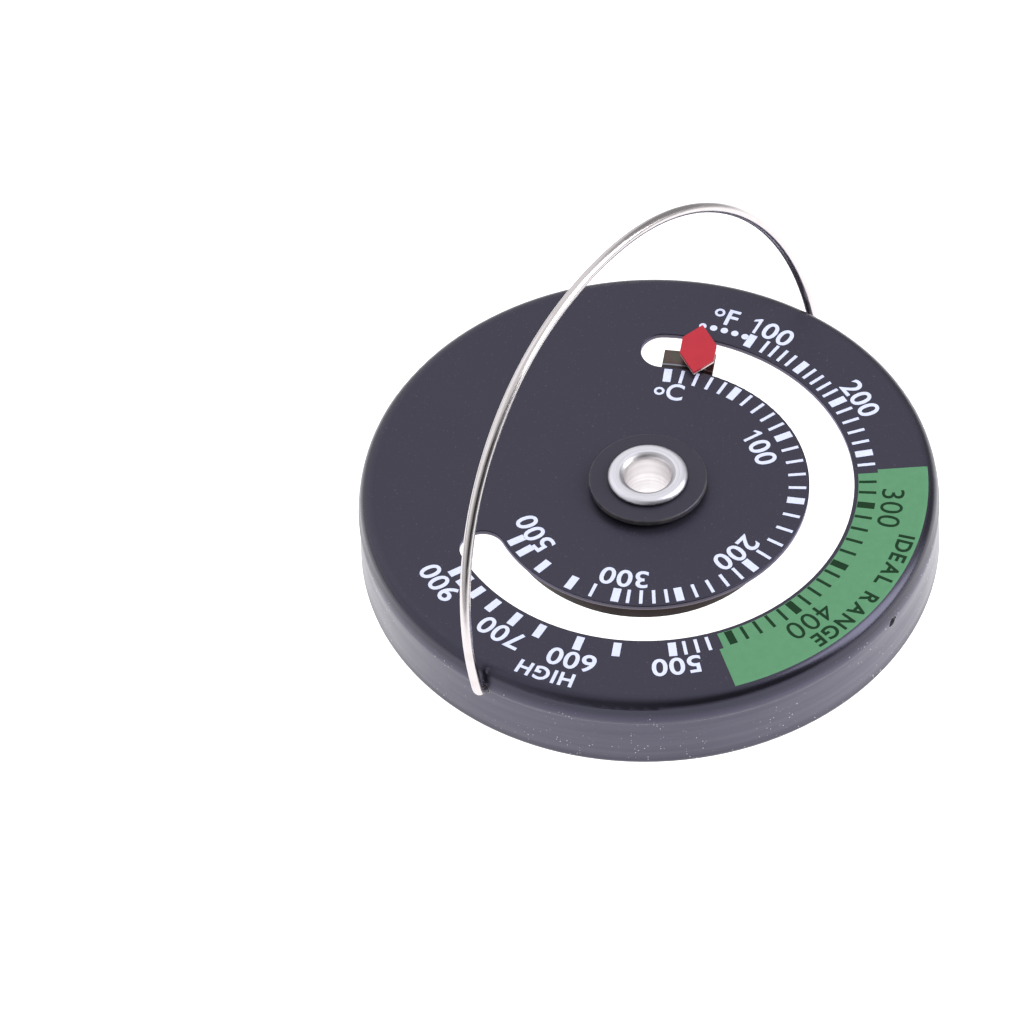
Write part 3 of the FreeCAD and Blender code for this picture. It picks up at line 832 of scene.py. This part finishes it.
def tab_bimetal():
    """The bracket's own strip, with a painted highlight along the line where the tab bends down and painted
    shade inside that line.
    """
    finish = bimetal("tab_bimetal", steel=rgb(0.19, 0.135, 0.13), copper=rgb(0.15, 0.10, 0.095),
                     browned=rgb(0.050, 0.032, 0.032))
    metal = finish.shader.inputs["Base Color"].links[0].from_socket
    radius = finish.radius()
    stain = finish.ramp(finish.noise(0.9, 3.0), 0.42, 0.60, 0.0, 0.8)
    metal = finish.mix(stain, metal, rgb(0.105, 0.112, 0.090))
    # Painted shade: the tab is darker inside the bend line, where its inner wall turns down out of the
    # light.
    inside = finish.ramp(radius, TAB_BEND_HIGHLIGHT - 0.15, TAB_BEND_HIGHLIGHT, 0.8, 0.0)
    metal = finish.mix(inside, metal, rgb(0.040, 0.036, 0.040))
    # Painted highlight: a pale line where the tab bends down.
    bend_highlight = finish.ramp(finish.apart(radius, TAB_BEND_HIGHLIGHT), 0.05, 0.13, 0.85, 0.0)
    metal = finish.mix(bend_highlight, metal, rgb(0.30, 0.34, 0.40))
    finish.set(Base_Color=metal)
    return finish.material


def red_flag():
    """Red paint on the flag, with pale sheared edges near its underside, partly bare metal and partly a
    painted highlight.
    """
    finish = Finish("red_flag", specular=0.40)
    edge = finish.ramp(finish.math("ABSOLUTE", finish.normal_z), 0.45, 0.8, 1.0, 0.0)
    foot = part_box("pointer_flag")[0].z / MM
    above_foot = finish.math("SUBTRACT", finish.z, foot)
    # The lower part of the sheared edge is pale: partly bare metal, partly a painted highlight.
    bare = finish.product(edge, finish.ramp(above_foot, *FLAG_BARE_AND_HIGHLIGHT, 1.0, 0.0))
    cloud = finish.noise(0.8, 3.0)
    grain = finish.noise(9.0, 2.0)
    paint = finish.mix(cloud, rgb(0.38, 0.008, 0.022), rgb(0.46, 0.014, 0.033))
    finish.set(Base_Color=finish.mix(bare, paint, rgb(0.74, 0.62, 0.62)))
    finish.set(Metallic=finish.ramp(bare, 0.0, 1.0, 0.0, 0.8))
    finish.set(Roughness=finish.ramp(cloud, 0.3, 0.7, 0.36, 0.46))
    finish.bump(grain, 0.004)
    return finish.material


def ferrite():
    """Pressed and sintered ferrite: dark grey, slightly granular, with pale chips."""
    finish = Finish("ferrite")
    cloud = finish.noise(0.6, 4.0)
    grain = finish.noise(6.0, 3.0)
    stone = finish.mix(cloud, rgb(0.030, 0.030, 0.033), rgb(0.055, 0.055, 0.058))
    finish.set(Base_Color=finish.mix(finish.specks(1.4, 0.12, 0.10), stone, rgb(0.16, 0.16, 0.16)))
    finish.set(Roughness=finish.ramp(grain, 0.3, 0.7, 0.42, 0.60))
    finish.bump(grain, 0.012)
    return finish.material


def ink(name, thin, full, roughness=0.5, specular=0.5):
    """Screen-printed ink, a little uneven in cover, with the mesh's faint grain."""
    finish = Finish(name, specular=specular)
    cover = finish.noise(1.1, 4.0)
    grain = finish.noise(10.0, 2.0)
    shade = finish.product(finish.math("ADD", cover, grain), 0.5)
    finish.set(Base_Color=finish.mix(finish.ramp(shade, 0.3, 0.7), thin, full))
    finish.set(Roughness=finish.ramp(cover, 0.3, 0.7, roughness - 0.05, roughness + 0.07))
    finish.bump(grain, 0.003)
    return finish.material


def dress(objects, material):
    for piece in objects:
        piece.data.materials.clear()
        piece.data.materials.append(material)


# ---- Stage -------------------------------------------------------------------

def add_camera():
    """Looks at the dial from the front and above, with the dial off the middle of the frame."""
    height = math.radians(CAMERA_ELEVATION)
    away = Vector((0, -math.cos(height), math.sin(height)))
    camera = bpy.data.objects.new("camera", bpy.data.cameras.new("camera"))
    bpy.context.scene.collection.objects.link(camera)
    camera.data.lens = LENS
    camera.data.sensor_width = SENSOR
    camera.data.clip_start = 0.01
    camera.location = CENTRE + away * CAMERA_DISTANCE
    roll = Quaternion((0, 0, 1), math.radians(CAMERA_ROLL))
    offset = Vector((DIAL_RIGHT_OF_MIDDLE * SENSOR / LENS, DIAL_ABOVE_MIDDLE * SENSOR / LENS, -1))
    seen_at = roll.inverted() @ offset.normalized()
    turn = seen_at.rotation_difference(Vector((0, 0, -1)))
    camera.rotation_mode = "QUATERNION"
    camera.rotation_quaternion = away.to_track_quat("Z", "Y") @ turn @ roll.inverted()
    bpy.context.scene.camera = camera


def add_floor():
    """A pale lit table that the thermometer stands on."""
    drawing = bmesh.new()
    drawing.faces.new([drawing.verts.new((x * TABLE_HALF, y * TABLE_HALF, -TABLE_GAP)) for x, y in SQUARE])
    floor = add_object("floor", drawing)
    finish = Finish("lit_table")
    finish.set(Base_Color=rgb(TABLE_GREY, TABLE_GREY, TABLE_GREY), Roughness=0.9)
    finish.set(Emission_Color=rgb(1, 1, 1))
    finish.set(Emission_Strength=finish.ramp(finish.radius(), *TABLE_EDGE, TABLE_GLOW, TABLE_FAR_GLOW))
    dress([floor], finish.material)


def add_softbox(name, azimuth, elevation, width, height, power):
    lamp = bpy.data.lights.new(name, "AREA")
    lamp.shape = "RECTANGLE"
    lamp.size = width
    lamp.size_y = height
    lamp.energy = power
    softbox = bpy.data.objects.new(name, lamp)
    bpy.context.scene.collection.objects.link(softbox)
    away = towards(azimuth, elevation)
    softbox.location = CENTRE + away * SOFTBOX_DISTANCE
    softbox.rotation_euler = away.to_track_quat("Z", "Y").to_euler()


def add_light():
    """A pale room with darker patches, and a softbox on each side of the thermometer."""
    world = bpy.data.worlds.new("studio")
    bpy.context.scene.world = world
    world.use_nodes = True
    nodes = world.node_tree.nodes
    links = world.node_tree.links
    direction = nodes.new("ShaderNodeTexCoord").outputs["Generated"]
    total = nodes.new("ShaderNodeValue").outputs[0]
    total.default_value = ROOM_LEVEL
    for azimuth, elevation, full, end, change in ROOM_PATCHES:
        tilt = nodes.new("ShaderNodeVectorMath")
        tilt.operation = "DOT_PRODUCT"
        tilt.inputs[1].default_value = towards(azimuth, elevation)
        links.new(direction, tilt.inputs[0])
        fade = nodes.new("ShaderNodeMapRange")
        fade.interpolation_type = "SMOOTHSTEP"
        fade.inputs["From Min"].default_value = math.cos(math.radians(end))
        fade.inputs["From Max"].default_value = math.cos(math.radians(full))
        fade.inputs["To Max"].default_value = change
        links.new(tilt.outputs["Value"], fade.inputs["Value"])
        level = nodes.new("ShaderNodeMath")
        links.new(total, level.inputs[0])
        links.new(fade.outputs["Result"], level.inputs[1])
        total = level.outputs[0]
    lit = nodes.new("ShaderNodeMath")
    lit.operation = "MAXIMUM"
    lit.inputs[1].default_value = ROOM_DARKEST
    links.new(total, lit.inputs[0])
    nodes["Background"].inputs["Color"].default_value = rgb(1, 1, 1)
    links.new(lit.outputs[0], nodes["Background"].inputs["Strength"])
    for name, settings in SOFTBOXES.items():
        add_softbox(name, *settings)


# ---- Assembly ----------------------------------------------------------------

def add_print():
    white = ink("white_ink", rgb(0.61, 0.65, 0.88), rgb(0.69, 0.73, 0.97))
    green = ink("green_ink", rgb(0.068, 0.225, 0.106), rgb(0.086, 0.260, 0.128))
    dark = ink("dark_ink", rgb(0.004, 0.028, 0.009), rgb(0.007, 0.036, 0.013), specular=0.14)
    white_pieces = [white_marks(), scale_dots(), white_numbers(), unit_letters(),
                    zone_word("zone_word_high", HIGH_WORD, overprint=False)]
    dark_pieces = [dark_marks(), dark_numbers(),
                   zone_word("zone_words_normal", ZONE_WORDS, overprint=True)]
    zone = green_zone()
    dress(white_pieces, white)
    dress(dark_pieces, dark)
    dress([zone], green)
    for piece in white_pieces + dark_pieces + [zone]:
        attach(piece, "case")


def finish_nodes():
    """Gives each CAD node its finish."""
    nodes = frame["nodes"]
    zinc = zinc_steel()
    # Painted shade: the coil's colours are held near black to stand in for the shade inside the case.
    shaded_coil_finish = bimetal("coil_bimetal_shaded", steel=rgb(0.034, 0.026, 0.028), copper=rgb(0.026, 0.017, 0.017),
                          browned=rgb(0.010, 0.006, 0.006))
    brass = turned_metal("hub_brass", dark=rgb(0.50, 0.34, 0.14), light=rgb(0.70, 0.50, 0.22),
                         roughness=0.30, ring_scale=6.0, relief=0.006)
    finishes = {
        "dial_case": black_enamel(),
        "bail_wire": stainless_wire(),
        "front_washer": black_washer(),
        "spacer_shim": zinc,
        "centre_eyelet": eyelet_aluminium(),
        "coil_hub": brass,
        "pointer_bracket": tab_bimetal(),
        "flag_stud": zinc,
        "pointer_flag": red_flag(),
        "magnet_plate": zinc,
        "ring_magnet": ferrite(),
        "rear_washer": zinc,
    }
    for name, material in finishes.items():
        dress([nodes[name]], material)
    dress([bimetal_strip()], shaded_coil_finish.material)


bpy.context.scene.view_settings.view_transform = "Standard"
add_camera()
add_floor()
add_light()
finish_nodes()
add_print()
